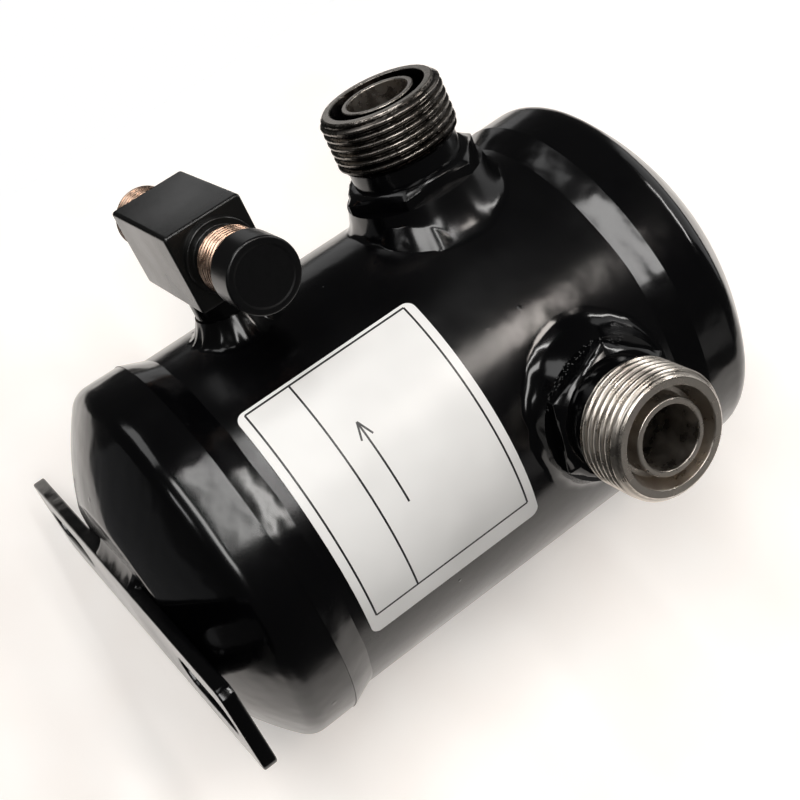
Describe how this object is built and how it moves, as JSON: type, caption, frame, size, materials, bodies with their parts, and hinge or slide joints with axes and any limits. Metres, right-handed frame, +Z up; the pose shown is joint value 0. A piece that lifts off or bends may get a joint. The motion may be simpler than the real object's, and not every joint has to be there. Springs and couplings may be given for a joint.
{
  "type": "refrigeration oil separator",
  "caption": "Upright welded steel oil separator on a slotted foot strap, with threaded inlet and outlet unions at right angles and a low oil-return block.",
  "frame": {"origin": "on the vessel's axis, on the underside of the foot strap, midway between the slots", "axes": "+Z up the vessel; -X out of the outlet union and the oil-return neck; -Y out of the inlet union; the strap lies along Y"},
  "size_m": [0.1339, 0.145, 0.1705],
  "materials": {
    "black_paint": "gloss black paint",
    "bare_steel": "turned",
    "sheet_steel": "pressed",
    "valve_brass": "turned",
    "black_rubber": "moulded",
    "label_film": "printed film"
  },
  "bodies": {
    "vessel": {"shell_tube": "black_paint", "top_cap": "black_paint", "bottom_cap": "black_paint", "top_seam_weld": "black_paint", "bottom_seam_weld": "black_paint", "foot_strap": "black_paint", "foot_welds": "black_paint", "outlet_fitting": "bare_steel", "inlet_fitting": "bare_steel", "outlet_weld": "black_paint", "inlet_weld": "black_paint", "oil_return_neck": "black_paint", "neck_weld": "black_paint", "return_block": "black_paint", "label": "label_film", "inlet_screen": "sheet_steel", "outlet_screen": "sheet_steel", "sump_baffle": "sheet_steel", "valve_body": "valve_brass", "pivot_bracket": "sheet_steel", "pivot_pin": "bare_steel"},
    "float": {"float_arm": "sheet_steel", "float_ball": "sheet_steel"},
    "needle": {"needle": "bare_steel"},
    "cap": {"return_cap": "black_rubber"}
  },
  "joints": [
    {"name": "float_hinge", "type": "hinge", "parent": "vessel", "child": "float", "pos_m": [-0.031, 0, 0.0672], "axis": [0, -1, 0], "range_deg": [0, 12]},
    {"name": "needle_slide", "type": "slide", "parent": "vessel", "child": "needle", "axis": [1, 0, 0], "range_m": [0, 0.0022]},
    {"name": "cap_slide", "type": "slide", "parent": "vessel", "child": "cap", "axis": [0, -1, 0], "range_m": [0, 0.03]}
  ],
  "couplings": [
    {"joint": "needle_slide", "follows": "float_hinge", "m_per_rad": 0.01}
  ]
}
